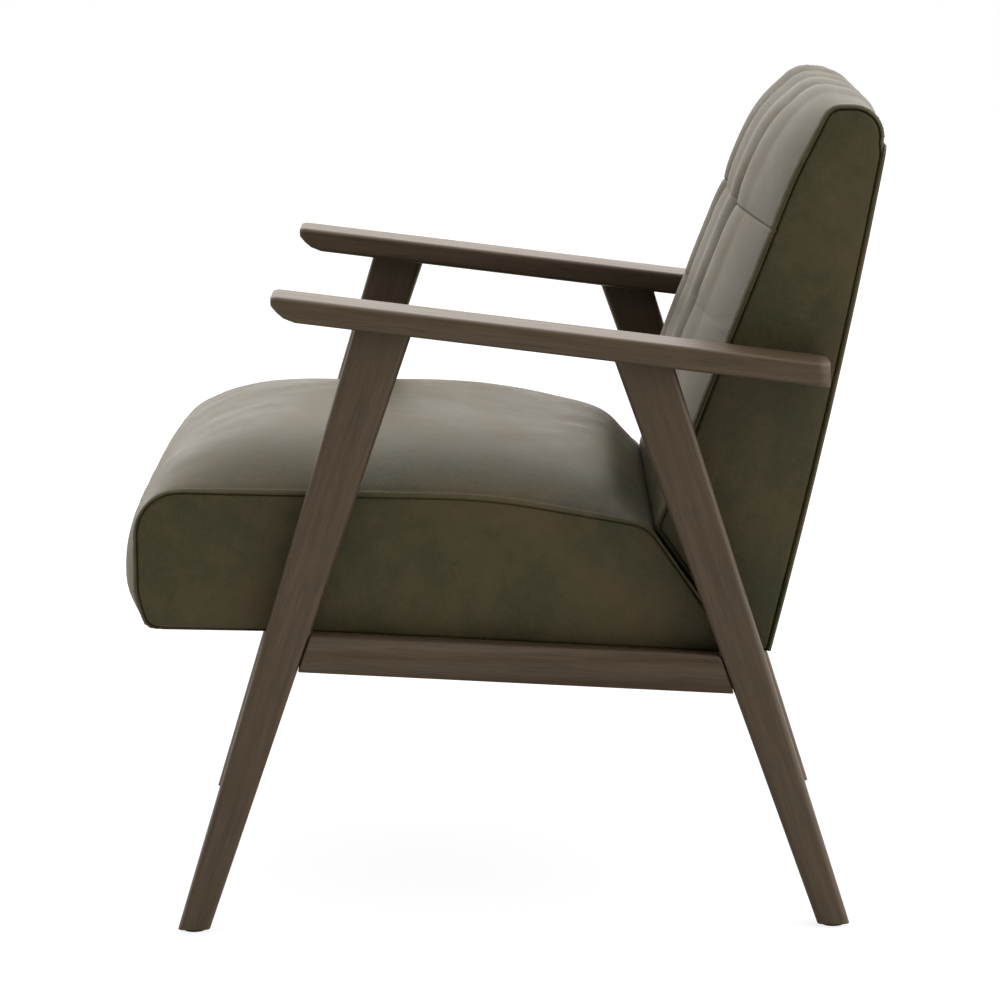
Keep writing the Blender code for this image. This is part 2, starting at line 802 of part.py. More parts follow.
spring_room = frame_half - board - 0.030
for number in range(spring_count):
    middle = spring_room * (2 * number / (spring_count - 1) - 1)
    points = []
    for step in range(6 * spring_waves + 1):
        y = spring_start + (spring_end - spring_start) * step / (6 * spring_waves)
        x = middle + spring_reach * math.sin(step * math.pi / 3)
        points.append((x, y + depth_shift, spring_z(y)))
    tube(f"seat_spring_{number + 1}", points, spring_wire_radius, spring_steel, 0)

cloth_lines = []
for drop in (fit_gap, fit_gap + dust_cover_thickness):
    cloth_lines.append([(y, seat_bottom_z(y) - drop) for y in (frame_front, seat_bend, board_end_low)])
plank(
    "seat_dust_cover",
    cloth_lines[1] + cloth_lines[0][::-1],
    0,
    2 * (frame_half - board - fit_gap),
    dust_cloth,
)


# ---------------------------------------------------------------- seat foam and cover

above = spring_wire_radius + 2 * fit_gap
foam_half = seat_half - cover_inside - fit_gap
kept = [
    i
    for i, (y, z) in enumerate(offset(seat_seam, -foam_inset))
    if z > (frame_bottom_z(y) + 0.010 if y < 0 else spring_z(y) + above + 0.004)
]
foam_rows = []
for across in spread(10):
    top = swollen(seat_seam, seat_crown_at, seat_crown_size, across, foam_inset)[kept].tolist()
    rear_y = top[-1][0] - 0.004
    board_face = frame_front - fit_gap
    under = [
        (rear_y, spring_z(rear_y) + above),
        (board_face, spring_z(board_face) + above),
        (board_face, top[0][1]),
    ]
    foam_rows.append([(across * foam_half, y, z) for y, z in moved(top + under)])
lofted("seat_foam", foam_rows, foam)

seat_cover = cover("seat_top_cover", seat_seam, seat_crown_at, seat_crown_size, seat_half - cover_inside)
seat_side_covers = {}
for side, sign in SIDES:
    bottom = [(seat_bend, seat_bottom_z(seat_bend))]
    outline = seat_seam.tolist() + bottom
    seat_side_covers[side] = plank(
        f"{side}_seat_side_cover", outline, sign * (seat_half - cover_thickness / 2), cover_thickness, leather
    )
    welt_x = sign * (seat_half - cover_thickness - fit_gap / 2)
    welt_line = offset(seat_seam, welt_radius + 2 * fit_gap)[1:-1]
    tube(f"{side}_seat_welt", [(welt_x, y, z) for y, z in moved(welt_line)], welt_radius, leather)


# ---------------------------------------------------------------- back frame and webbing


def stile_face(z, front):
    return back_edge_y(z) - stile_setback - (stile_depth if front else 0)


def back_board(name, low, high, x, width):
    """A board as deep as the stiles, between two heights, following the back's rear edge."""
    heights = np.linspace(low, high, 5 if high - low > 0.1 else 2)
    outline = [(stile_face(z, False), z) for z in heights] + [(stile_face(z, True), z) for z in heights[::-1]]
    return plank(name, outline, x, width, plain_wood)


stile_outer = back_half - cover_inside - fit_gap
for side, sign in SIDES:
    back_board(f"{side}_back_stile", stile_bottom, stile_top, sign * (stile_outer - stile_width / 2), stile_width)
between_stiles = 2 * (stile_outer - stile_width - fit_gap)
back_board("back_top_rail", stile_top - back_top_rail_height, stile_top, 0, between_stiles)
bottom_rail = back_board("back_bottom_rail", *back_bottom_rail, 0, between_stiles)

web_low, web_high = back_bottom_rail[1] + 0.02, stile_top - back_top_rail_height - 0.02
for number in range(web_count):
    low = web_low + (web_high - web_low - web_width) * number / (web_count - 1)
    heights = (low, low + web_width)
    near = [(stile_face(z, True) - fit_gap - 0.0003, z) for z in heights]
    far = [(y - web_thickness, z) for y, z in near]
    plank(f"back_web_{number + 1}", near + far[::-1], 0, 2 * (stile_outer - 0.002), webbing)


# ---------------------------------------------------------------- back foam and cover

kept = [i for i, (y, z) in enumerate(back_seam) if z > knee_z - 0.020 and y < top_rear[0] - 0.012]
web_face = web_thickness + 4 * fit_gap
foam_back_heights = np.linspace(stile_top + fit_gap, knee_z - 0.02, 5)
foam_half = back_half - cover_inside - fit_gap
foam_rows = []
for across in spread(10):
    face = swollen(back_seam, back_crown_at, back_crown_size, across, foam_inset)[kept].tolist()
    behind = [(stile_face(stile_top, False), stile_top + fit_gap)]
    behind += [(stile_face(z, True) - web_face, z) for z in foam_back_heights]
    foam_rows.append([(across * foam_half, y, z) for y, z in moved(face + behind)])
lofted("back_foam", foam_rows, foam)

back_cover = cover("back_front_cover", back_seam, back_crown_at, back_crown_size, back_half - cover_inside)

edge_heights = np.linspace(rear_seam_height - 0.004, back_bottom + 0.004, 9)
side_edge = [(back_edge_y(z) - seam_inset, z) for z in edge_heights]
for side, sign in SIDES:
    outline = back_seam[:-1].tolist() + side_edge
    plank(f"{side}_back_side_cover", outline, sign * (back_half - cover_thickness / 2), cover_thickness, leather)

# The rear cover is narrower where the piping turns its top corners.
corner_radius = 0.012
rear_cover_top = rear_seam_height - piping_radius - 0.001
rear_half = back_half - 2 * piping_radius - 2 * fit_gap


def corner_narrowing(z):
    reach = max(0.0, z - (rear_cover_top - corner_radius))
    return corner_radius - math.sqrt(max(0.0, corner_radius**2 - reach**2))


rear_heights = [rear_cover_top - drop for drop in (0, 0.003, 0.007, corner_radius)]
rear_heights += list(np.linspace(rear_cover_top - 0.05, back_bottom + 0.004, 8))
cover(
    "back_rear_cover",
    np.array([(back_edge_y(z) - 0.0005, z) for z in rear_heights]),
    (0.0, 0.25, 0.75, 1.0),
    np.array((0.0, 1.0, 1.0, 0.0)) * back_rear_crown,
    rear_half,
    corner_narrowing,
    columns=8,
)

# One length of piping: up the left rear edge, across the top and down the right.
piping_x = back_half - piping_radius + 0.0008
rise_heights = np.linspace(back_bottom + 0.004, rear_seam_height - corner_radius - 0.020, 9)
rise = [(back_edge_y(z) - piping_radius, z) for z in rise_heights]
corner = []
for step in range(5):
    angle = math.radians(90 * step / 4)
    x = piping_x - corner_radius * (1 - math.cos(angle))
    z = rear_seam_height - corner_radius * (1 - math.sin(angle))
    corner.append((x, back_edge_y(z) - piping_radius, z))
left_half = [(piping_x, y, z) for y, z in rise] + corner
whole = left_half + [(-x, y, z) for x, y, z in reversed(left_half)]
tube("back_piping", [(x, y + depth_shift, z) for x, y, z in whole], piping_radius, leather)


# ---------------------------------------------------------------- bolts

for place, y in (("front", front_cross_rail_y), ("rear", rear_cross_rail_y)):
    for side, sign in SIDES:
        x = sign * (frame_half - board / 2)
        low = seat_bottom_z(y) - cross_rail_drop - 0.0005
        spot = (x, y + depth_shift)
        hole = rod_tool(
            f"{side}_{place}_seat_bolt_hole",
            bolt_radius + hole_clearance,
            (*spot, low - 0.01),
            (*spot, low + seat_bolt_length + 0.001),
        )
        boolean(cross_rails[place], hole)
        boolean(seat_sides[side], hole)
        bolt(
            f"{side}_{place}_seat_bolt", (*spot, low), (0, 0, 0),
            bolt_radius, seat_bolt_length, bolt_head_radius, bolt_head_height,
        )

back_bolt_height = frame_top_z(rear_board_y) - back_bolt_drop
for side, sign in SIDES:
    x = sign * 0.6 * between_stiles / 2
    head_y = rear_board_y - 0.0005 + depth_shift
    hole = rod_tool(
        f"{side}_back_bolt_hole",
        back_bolt_radius + hole_clearance,
        (x, head_y - 0.02, back_bolt_height),
        (x, head_y + back_bolt_reach + 0.001, back_bolt_height),
    )
    for piece in (seat_ends["rear"], seat_cover, back_cover, bottom_rail):
        boolean(piece, hole)
    bolt(
        f"{side}_back_bolt", (x, head_y, back_bolt_height), (-math.pi / 2, 0, 0),
        back_bolt_radius, back_bolt_reach, back_bolt_head_radius, back_bolt_head_height,
    )
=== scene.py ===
"""Lounge chair with a stained wooden frame and an olive leather seat and tufted back."""

import json
import math

import bmesh
import bpy
import numpy as np
from mathutils import Matrix, Vector


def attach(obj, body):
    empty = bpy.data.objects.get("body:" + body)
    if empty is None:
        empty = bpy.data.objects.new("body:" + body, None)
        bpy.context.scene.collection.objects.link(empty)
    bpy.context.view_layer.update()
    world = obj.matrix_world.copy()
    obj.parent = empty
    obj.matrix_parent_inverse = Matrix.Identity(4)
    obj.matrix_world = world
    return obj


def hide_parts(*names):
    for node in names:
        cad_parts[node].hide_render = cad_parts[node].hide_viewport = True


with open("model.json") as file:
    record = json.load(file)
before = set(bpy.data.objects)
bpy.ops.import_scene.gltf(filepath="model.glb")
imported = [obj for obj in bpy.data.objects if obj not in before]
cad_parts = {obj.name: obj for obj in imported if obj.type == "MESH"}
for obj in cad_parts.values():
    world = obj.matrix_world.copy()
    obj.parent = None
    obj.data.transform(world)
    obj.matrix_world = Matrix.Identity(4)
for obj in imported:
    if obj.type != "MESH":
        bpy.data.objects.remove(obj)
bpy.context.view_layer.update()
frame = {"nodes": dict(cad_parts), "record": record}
nodes = frame["nodes"]


# ---------------------------------------------------------------- camera, floor and light
# A long lens looks at the chair's left side from a little above the armrests.
# The floor is matt white card. Soft light comes from the chair's right and above, and from behind.

camera_place = Vector((4.434, 0.0121, 1.100))
camera_yaw = -0.0031
camera_pitch = -0.1655
camera_roll = -0.0101

view_way = Vector((
    -math.cos(camera_yaw) * math.cos(camera_pitch),
    math.sin(camera_yaw) * math.cos(camera_pitch),
    math.sin(camera_pitch),
))
level_right = Vector((math.sin(camera_yaw), math.cos(camera_yaw), 0))
level_up = level_right.cross(view_way)
image_right = math.cos(camera_roll) * level_right + math.sin(camera_roll) * level_up
image_up = math.cos(camera_roll) * level_up - math.sin(camera_roll) * level_right

lens = bpy.data.cameras.new("camera")
lens.lens = 162
lens.sensor_width = 36
lens.clip_end = 100
camera = bpy.data.objects.new("camera", lens)
bpy.context.scene.collection.objects.link(camera)
camera.matrix_world = Matrix((
    (image_right.x, image_up.x, -view_way.x, camera_place.x),
    (image_right.y, image_up.y, -view_way.y, camera_place.y),
    (image_right.z, image_up.z, -view_way.z, camera_place.z),
    (0, 0, 0, 1),
))
bpy.context.scene.camera = camera
bpy.context.scene.view_settings.view_transform = "Standard"


def tint(code):
    """An sRGB hex colour as linear red, green, blue and alpha."""
    parts = [int(code[i : i + 2], 16) / 255 for i in (1, 3, 5)]
    return (*[c / 12.92 if c <= 0.04045 else ((c + 0.055) / 1.055) ** 2.4 for c in parts], 1.0)


def add(tree, kind, sockets=None, **settings):
    """A node with its settings, and its inputs set to values or linked to other nodes' outputs."""
    node = tree.nodes.new(kind)
    for name, value in settings.items():
        setattr(node, name, value)
    for name, value in (sockets or {}).items():
        socket = node.inputs[name]
        if isinstance(value, bpy.types.NodeSocket):
            tree.links.new(value, socket)
        else:
            socket.default_value = value
    return node


studio = bpy.data.worlds.new("studio")
studio.use_nodes = True
sky = studio.node_tree
sky.nodes.clear()
light_way = Vector((-0.82, 0.00, 0.57)).normalized()
direction = add(sky, "ShaderNodeTexCoord").outputs["Generated"]
towards = add(sky, "ShaderNodeVectorMath", {0: direction, 1: light_way}, operation="DOT_PRODUCT")
strength = add(sky, "ShaderNodeMapRange", {
    "Value": towards.outputs["Value"], "From Min": -0.50, "From Max": 0.95, "To Min": 0.03, "To Max": 1.92,
})
# A second soft box, behind the chair and to its left, shades the cushions ahead of the legs.
rear_way = Vector((0.36, 0.86, 0.36)).normalized()
rear_towards = add(sky, "ShaderNodeVectorMath", {0: direction, 1: rear_way}, operation="DOT_PRODUCT")
rear_strength = add(sky, "ShaderNodeMapRange", {
    "Value": rear_towards.outputs["Value"], "From Min": 0.72, "From Max": 1.0, "To Min": 0.0, "To Max": 2.1,
})
total_strength = add(sky, "ShaderNodeMath", {
    0: strength.outputs["Result"], 1: rear_strength.outputs["Result"],
}, operation="ADD")
lit = add(sky, "ShaderNodeBackground", {"Color": tint("#fff9f2"), "Strength": total_strength.outputs[0]})
seen = add(sky, "ShaderNodeBackground", {"Color": (1, 1, 1, 1), "Strength": 1.0})
which = add(sky, "ShaderNodeLightPath").outputs["Is Camera Ray"]
both = add(sky, "ShaderNodeMixShader", {0: which, 1: lit.outputs[0], 2: seen.outputs[0]})
add(sky, "ShaderNodeOutputWorld", {"Surface": both.outputs[0]})
bpy.context.scene.world = studio

# To the camera the card glows a little as well, so its shadows stay faint. To the chair it is plain card.
card = bpy.data.materials.new("matt_white_card")
card.use_nodes = True
paper = card.node_tree
paper.nodes.clear()
shaded = add(paper, "ShaderNodeBsdfDiffuse", {"Color": tint("#8e9094")})
glow = add(paper, "ShaderNodeEmission", {"Color": tint("#fdfdff"), "Strength": 0.86})
white = add(paper, "ShaderNodeAddShader", {0: shaded.outputs[0], 1: glow.outputs[0]})
thrown = add(paper, "ShaderNodeBsdfDiffuse", {"Color": tint("#c9c7c2")})
looked_at = add(paper, "ShaderNodeLightPath").outputs["Is Camera Ray"]
card_shader = add(paper, "ShaderNodeMixShader", {0: looked_at, 1: thrown.outputs[0], 2: white.outputs[0]})
add(paper, "ShaderNodeOutputMaterial", {"Surface": card_shader.outputs[0]})
card_sheet = bmesh.new()
bmesh.ops.create_grid(card_sheet, x_segments=1, y_segments=1, size=9)
floor_mesh = bpy.data.meshes.new("floor")
card_sheet.to_mesh(floor_mesh)
card_sheet.free()
floor_mesh.materials.append(card)
floor = bpy.data.objects.new("floor", floor_mesh)
bpy.context.scene.collection.objects.link(floor)


# ---------------------------------------------------------------- wooden side frames and cross rails
# Legs, armrests and rails are rubberwood, sawn, rounded over and sanded, then given a dark
# grey-brown stain and a satin lacquer. The rails are tenoned into the legs and into each other.


def bare_finish(name):
    """A new material, with its tree, its shader and the object's own coordinates to build on."""
    finish = bpy.data.materials.new(name)
    finish.use_nodes = True
    tree = finish.node_tree
    return finish, tree, tree.nodes["Principled BSDF"], add(tree, "ShaderNodeTexCoord").outputs["Object"]


def stained_rubberwood(name, turn):
    """Stained rubberwood whose grain runs along the piece: turn brings that way round to Z."""
    finish, tree, shader, place = bare_finish(name)
    grain_way = add(tree, "ShaderNodeMapping", {"Vector": place, "Rotation": turn}).outputs["Vector"]
    # Growth rings cut lengthwise: bands 8 mm apart that run on for about 160 mm.
    bands_place = add(tree, "ShaderNodeMapping", {"Vector": grain_way, "Scale": (120, 120, 6)}).outputs["Vector"]
    bands = add(tree, "ShaderNodeTexNoise", {
        "Vector": bands_place, "Scale": 1.0, "Detail": 5.0, "Roughness": 0.66, "Distortion": 0.3,
    })
    # Fibres 1.5 mm apart and 60 mm long, and short dark pores 0.8 mm apart and 20 mm long.
    fibre_place = add(tree, "ShaderNodeMapping", {"Vector": grain_way, "Scale": (650, 650, 16)}).outputs["Vector"]
    fibres = add(tree, "ShaderNodeTexNoise", {"Vector": fibre_place, "Scale": 1.0, "Detail": 3.0})
    pore_place = add(tree, "ShaderNodeMapping", {"Vector": grain_way, "Scale": (1200, 1200, 48)}).outputs["Vector"]
    pores = add(tree, "ShaderNodeTexNoise", {"Vector": pore_place, "Scale": 1.0, "Detail": 2.0})
    pore_depth = add(tree, "ShaderNodeMapRange", {
        "Value": pores.outputs["Fac"], "From Min": 0.56, "From Max": 0.72, "To Min": 0.0, "To Max": 1.0,
    }).outputs["Result"]
    # Where the stain took more or less, over 60 to 100 mm.
    cloud = add(tree, "ShaderNodeTexNoise", {"Vector": grain_way, "Scale": 14.0, "Detail": 2.0})
    figure = add(tree, "ShaderNodeMath", {
        0: fibres.outputs["Fac"], 1: 0.45, 2: bands.outputs["Fac"],
    }, operation="MULTIPLY_ADD").outputs[0]
    ramp = add(tree, "ShaderNodeValToRGB", {"Fac": figure})
    ramp.color_ramp.elements[0].position = 0.52
    ramp.color_ramp.elements[0].color = tint("#3a2f26")
    ramp.color_ramp.elements[1].position = 0.92
    ramp.color_ramp.elements[1].color = tint("#625447")
    uneven = add(tree, "ShaderNodeMix", {
        "Factor": cloud.outputs["Fac"], 6: ramp.outputs["Color"], 7: tint("#51432f"),
    }, data_type="RGBA")
    dark_pores = add(tree, "ShaderNodeMath", {0: pore_depth, 1: 0.45}, operation="MULTIPLY").outputs[0]
    colour = add(tree, "ShaderNodeMix", {
        "Factor": dark_pores, 6: uneven.outputs[2], 7: tint("#251c15"),
    }, data_type="RGBA")
    gloss = add(tree, "ShaderNodeMapRange", {
        "Value": figure, "From Min": 0.5, "From Max": 0.95, "To Min": 0.34, "To Max": 0.48,
    })
    height = add(tree, "ShaderNodeMath", {0: figure, 1: pore_depth}, operation="SUBTRACT").outputs[0]
    relief = add(tree, "ShaderNodeBump", {"Height": height, "Strength": 0.25, "Distance": 0.0004})
    tree.links.new(colour.outputs[2], shader.inputs["Base Color"])
    tree.links.new(gloss.outputs["Result"], shader.inputs["Roughness"])
    tree.links.new(relief.outputs["Normal"], shader.inputs["Normal"])
    shader.inputs["IOR"].default_value = 1.5
    return finish


leg_lean_angle = math.atan(0.329)
arm_slope_angle = math.atan(0.132)
rail_slope_angle = math.atan(0.0575)
wood_along = {
    "front_leg": stained_rubberwood("rubberwood_front_leg", (leg_lean_angle, 0, 0)),
    "rear_leg": stained_rubberwood("rubberwood_rear_leg", (-leg_lean_angle, 0, 0)),
    "armrest": stained_rubberwood("rubberwood_armrest", (math.pi / 2 + arm_slope_angle, 0, 0)),
    "side_rail": stained_rubberwood("rubberwood_side_rail", (math.pi / 2 + rail_slope_angle, 0, 0)),
    "cross_rail": stained_rubberwood("rubberwood_cross_rail", (0, -math.pi / 2, 0)),
}


def worn_copy(node, name, finish):
    """A copy of a wooden solid as one surface, its flat faces flat and its rounded edges smooth."""
    nodes[node].data.materials.clear()
    nodes[node].data.materials.append(finish)
    mesh = nodes[node].data.copy()
    body = bmesh.new()
    body.from_mesh(mesh)
    bmesh.ops.remove_doubles(body, verts=body.verts, dist=1e-5)
    bmesh.ops.dissolve_limit(body, angle_limit=0.002, verts=body.verts, edges=body.edges)
    bmesh.ops.triangulate(body, faces=body.faces)
    body.to_mesh(mesh)
    body.free()
    piece = bpy.data.objects.new(name, mesh)
    bpy.context.scene.collection.objects.link(piece)
    mesh.name = name
    mesh.shade_smooth()
    mesh.set_sharp_from_angle(angle=math.radians(42))
    even = piece.modifiers.new("even_shading", "WEIGHTED_NORMAL")
    even.keep_sharp = True
    return piece


for side in ("left", "right"):
    for part in ("front_leg", "rear_leg", "armrest", "side_rail"):
        piece = worn_copy(f"{side}_{part}", f"{side}_{part}_wood", wood_along[part])
        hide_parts(f"{side}_{part}")
        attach(piece, "root")
for place in ("front", "rear"):
    piece = worn_copy(f"{place}_cross_rail", f"{place}_cross_rail_wood", wood_along["cross_rail"])
    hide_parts(f"{place}_cross_rail")
    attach(piece, "root")


# ---------------------------------------------------------------- seat cushion
# A sprung box seat: one leather panel wraps it from under the front edge over the crowned top
# and down the rear, and a flat leather panel closes each side, joined to it by a raised seam.

seat_half = 0.2803
seat_outline = [
    (-0.3194, 0.2860), (-0.3350, 0.2868), (-0.3444, 0.3178), (-0.3444, 0.419),
    (-0.0119, 0.4085), (0.1381, 0.381), (0.2231, 0.2576),
]
seat_radii = [0.012, 0.060, 0.042, 0.600, 0.035]
seat_under_bend = (-0.1919, 0.2825)
seat_crown = 0.050
seat_front_crown = 0.0175


def rounded(corners, radii, steps=10):
    """An open line through the corners, each inner corner rounded with its own radius."""
    corners = [np.array(corner, float) for corner in corners]
    line = [corners[0]]
    for before, corner, after, radius in zip(corners, corners[1:], corners[2:], radii):
        back_way = (before - corner) / np.linalg.norm(before - corner)
        on_way = (after - corner) / np.linalg.norm(after - corner)
        half_angle = math.acos(back_way @ on_way) / 2
        middle_way = (back_way + on_way) / np.linalg.norm(back_way + on_way)
        centre = corner + middle_way * radius / math.sin(half_angle)
        start = corner + back_way * radius / math.tan(half_angle) - centre
        end = corner + on_way * radius / math.tan(half_angle) - centre
        sweep = math.pi - 2 * half_angle
        for step in range(steps + 1):
            share = step / steps
            turned = math.sin((1 - share) * sweep) * start + math.sin(share * sweep) * end
            line.append(centre + turned / math.sin(sweep))
    line.append(corners[-1])
    return np.array(line)


def lengths(line):
    """The distance along a line of each of its points."""
    return np.concatenate([[0], np.cumsum(np.linalg.norm(np.diff(line, axis=0), axis=1))])


def graded(low, high, step, fine_at=(), fine=0.0008, reach=0.004):
    """Places from low to high, closer together around some of them."""
    places = np.linspace(low, high, max(2, round((high - low) / step)) + 1)
    for spot in fine_at:
        places = places[(abs(places - spot) > reach + fine) | (places == low) | (places == high)]
        near = spot + np.arange(-reach, reach + fine / 2, fine)
        places = np.union1d(places, near[(near > low) & (near < high)])
    return places


def line_at(line, places):
    """Points on a line at given distances along it."""
    run = lengths(line)
    return np.column_stack([np.interp(places, run, line[:, 0]), np.interp(places, run, line[:, 1])])


def outward_ways(loop):
    """Outward unit normals of a closed loop that runs up the front and back over the top."""
    run = np.roll(loop, -1, axis=0) - np.roll(loop, 1, axis=0)
    run /= np.linalg.norm(run, axis=1)[:, None]
    return np.column_stack([-run[:, 1], run[:, 0]])


def edge_columns(half, step, fine_at=()):
    """Places across a cushion, packed closely beside the two side seams."""
    close = half - np.array([0, 0.7, 1.3, 1.9, 2.5, 3.1, 3.8, 4.6, 5.6, 7, 9, 12, 16]) / 1000
    inner = graded(-close[-1], close[-1], step, fine_at)
    return np.concatenate([-close[:-1], inner, close[:-1][::-1]])


seam_wear_width = 0.002
seam_wear_depth = 0.35


def cushion_mesh(name, loop, across, offsets, half, spine, panel_depth, rings=16):
    """A closed cushion: a loop repeated across the chair and pushed out by offsets, and two side panels.

    offsets has a row for each place across. spine is the line that a side panel's rings close in to.
    panel_depth says how far a side panel stands out at a distance from its seam.
    """
    ways = outward_ways(loop)
    count = len(loop)
    points = []
    for x, size in zip(across, offsets):
        ring = loop + ways * size[:, None]
        points += [(x, y, z) for y, z in ring]
    faces = []
    for c in range(len(across) - 1):
        for i in range(count):
            j = (i + 1) % count
            faces.append((c * count + i, c * count + j, (c + 1) * count + j, (c + 1) * count + i))
    start, end = np.array(spine[0]), np.array(spine[1])
    run = end - start
    for sign, column in ((-1, 0), (1, len(across) - 1)):
        edge = loop + ways * offsets[column][:, None]
        share = np.clip((edge - start) @ run / (run @ run), 0, 1)
        inside = start + share[:, None] * run
        reach = np.linalg.norm(edge - inside, axis=1)
        last = [column * count + i for i in range(count)]
        for ring in range(1, rings + 1):
            part = 0.97 * (ring / rings) ** 2  # the rings crowd towards the seam
            depth = panel_depth(reach * part)
            first = len(points)
            for (y, z), d in zip(edge + (inside - edge) * part, depth):
                points.append((sign * (half + d), y, z))
            new = [first + i for i in range(count)]
            for i in range(count):
                j = (i + 1) % count
                quad = (last[i], last[j], new[j], new[i])
                faces.append(quad if sign > 0 else quad[::-1])
            last = new
        faces.append(tuple(last) if sign > 0 else tuple(last[::-1]))
    mesh = bpy.data.meshes.new(name)
    mesh.from_pydata([tuple(map(float, p)) for p in points], [], faces)
    body = bmesh.new()
    body.from_mesh(mesh)
    bmesh.ops.triangulate(body, faces=[f for f in body.faces if len(f.verts) > 4])
    bmesh.ops.recalc_face_normals(body, faces=body.faces)
    body.to_mesh(mesh)
    body.free()
    # Wear is strongest 2 mm from each seam, and on the wrapped panel only, whose points come first.
    wear = mesh.attributes.new("seam_wear", "FLOAT", "POINT")
    from_ridge = half - abs(np.repeat(across, count)) - seam_wear_width
    worn = seam_wear_depth * np.exp(-((from_ridge / seam_wear_width) ** 2))
    wear.data.foreach_set("value", np.concatenate([worn, np.zeros(len(points) - len(worn))]))
    mesh.shade_smooth()
    return mesh


def waxed_leather(name, olive, brown):
    """Pull-up leather: dyed olive, then waxed, so that it mottles brown and green and shines softly."""
    finish, tree, shader, place = bare_finish(name)
    # Clouds of wax and dye 100 to 150 mm across, and smaller ones of 25 mm within them.
    cloud = add(tree, "ShaderNodeTexNoise", {
        "Vector": place, "Scale": 7.0, "Detail": 5.0, "Roughness": 0.58, "Distortion": 0.5,
    })
    blotch = add(tree, "ShaderNodeTexNoise", {"Vector": place, "Scale": 38.0, "Detail": 5.0, "Roughness": 0.62})
    mottle = add(tree, "ShaderNodeMath", {
        0: blotch.outputs["Fac"], 1: 0.5, 2: cloud.outputs["Fac"],
    }, operation="MULTIPLY_ADD").outputs[0]
    ramp = add(tree, "ShaderNodeValToRGB", {"Fac": mottle})
    ramp.color_ramp.elements[0].position = 0.63
    ramp.color_ramp.elements[0].color = tint(olive)
    ramp.color_ramp.elements[1].position = 0.91
    ramp.color_ramp.elements[1].color = tint(brown)
    # Fine scuffs, 2 to 4 mm long, where the wax has turned pale.
    scuff = add(tree, "ShaderNodeTexNoise", {"Vector": place, "Scale": 330.0, "Detail": 4.0, "Roughness": 0.7})
    scuffed = add(tree, "ShaderNodeMapRange", {
        "Value": scuff.outputs["Fac"], "From Min": 0.45, "From Max": 0.75, "To Min": 0.0, "To Max": 0.34,
    })
    colour = add(tree, "ShaderNodeMix", {
        "Factor": scuffed.outputs["Result"], 6: ramp.outputs["Color"], 7: tint("#5c5338"),
    }, data_type="RGBA")
    # Rubbed edges: beside a seam the dye has worn to a paler brown.
    edge = add(tree, "ShaderNodeAttribute", attribute_name="seam_wear").outputs["Fac"]
    rubbed = add(tree, "ShaderNodeMath", {0: edge, 1: blotch.outputs["Fac"]}, operation="MULTIPLY").outputs[0]
    worn = add(tree, "ShaderNodeMix", {
        "Factor": rubbed, 6: colour.outputs[2], 7: tint("#6b6042"),
    }, data_type="RGBA")
    # Natural grain: cells of 1.2 mm, with soft creases every 7 mm.
    cells = add(tree, "ShaderNodeTexVoronoi", {"Vector": place, "Scale": 850.0}, feature="DISTANCE_TO_EDGE")
    fold = add(tree, "ShaderNodeTexNoise", {"Vector": place, "Scale": 140.0, "Detail": 4.0, "Roughness": 0.6})
    cell_height = add(tree, "ShaderNodeMapRange", {
        "Value": cells.outputs["Distance"], "From Min": 0.0, "From Max": 0.25, "To Min": 0.0, "To Max": 1.0,
    })
    height = add(tree, "ShaderNodeMath", {
        0: fold.outputs["Fac"], 1: 3.0, 2: cell_height.outputs["Result"],
    }, operation="MULTIPLY_ADD").outputs[0]
    relief = add(tree, "ShaderNodeBump", {"Height": height, "Strength": 0.30, "Distance": 0.0004})
    gloss = add(tree, "ShaderNodeMapRange", {
        "Value": mottle, "From Min": 0.55, "From Max": 0.95, "To Min": 0.36, "To Max": 0.50,
    })
    tree.links.new(worn.outputs[2], shader.inputs["Base Color"])
    tree.links.new(gloss.outputs["Result"], shader.inputs["Roughness"])
    tree.links.new(relief.outputs["Normal"], shader.inputs["Normal"])
    shader.inputs["IOR"].default_value = 1.5
    shader.inputs["Specular IOR Level"].default_value = 0.42
    return finish


olive_leather = waxed_leather("waxed_olive_leather", "#373920", "#4f462c")

seam_line = rounded(seat_outline, seat_radii)
seam_length = lengths(seam_line)[-1]
seam_places = graded(0, seam_length, 0.006)
under_line = np.array([seam_line[-1], seat_under_bend, seam_line[0]])
under_length = lengths(under_line)[-1]
under_places = graded(0, under_length, 0.02)[1:-1]
seat_loop = np.vstack([line_at(seam_line, seam_places), line_at(under_line, under_places)])
seam_share = np.concatenate([seam_places / seam_length, np.ones(len(under_places))])
on_seam = np.concatenate([np.ones(len(seam_places)), np.zeros(len(under_places))])
crown_at = (
    0.00, 0.02, 0.05, 0.085, 0.12, 0.15, 0.175, 0.19,
    0.205, 0.22, 0.24, 0.265, 0.30, 0.35, 0.42, 0.52, 0.62, 0.73, 0.765, 0.785, 0.797, 0.807, 0.82, 1.00,
)
crown_size = np.concatenate([
    seat_front_crown * np.array((0.0, 0.55, 1.0, 1.1, 0.85, 0.25, 0.02, 0.12)),
    seat_crown * np.array(
        (0.26, 0.46, 0.64, 0.79, 0.93, 1.00, 1.01, 1.05, 1.0, 0.91, 0.78, 0.46, 0.12, 0.0, 0.0, 0.0)
    ),
])
crown = np.interp(seam_share, crown_at, crown_size)
for _ in range(6):
    crown = (np.roll(crown, 1) + crown + np.roll(crown, -1)) / 3 * on_seam
across = edge_columns(seat_half, 0.008)
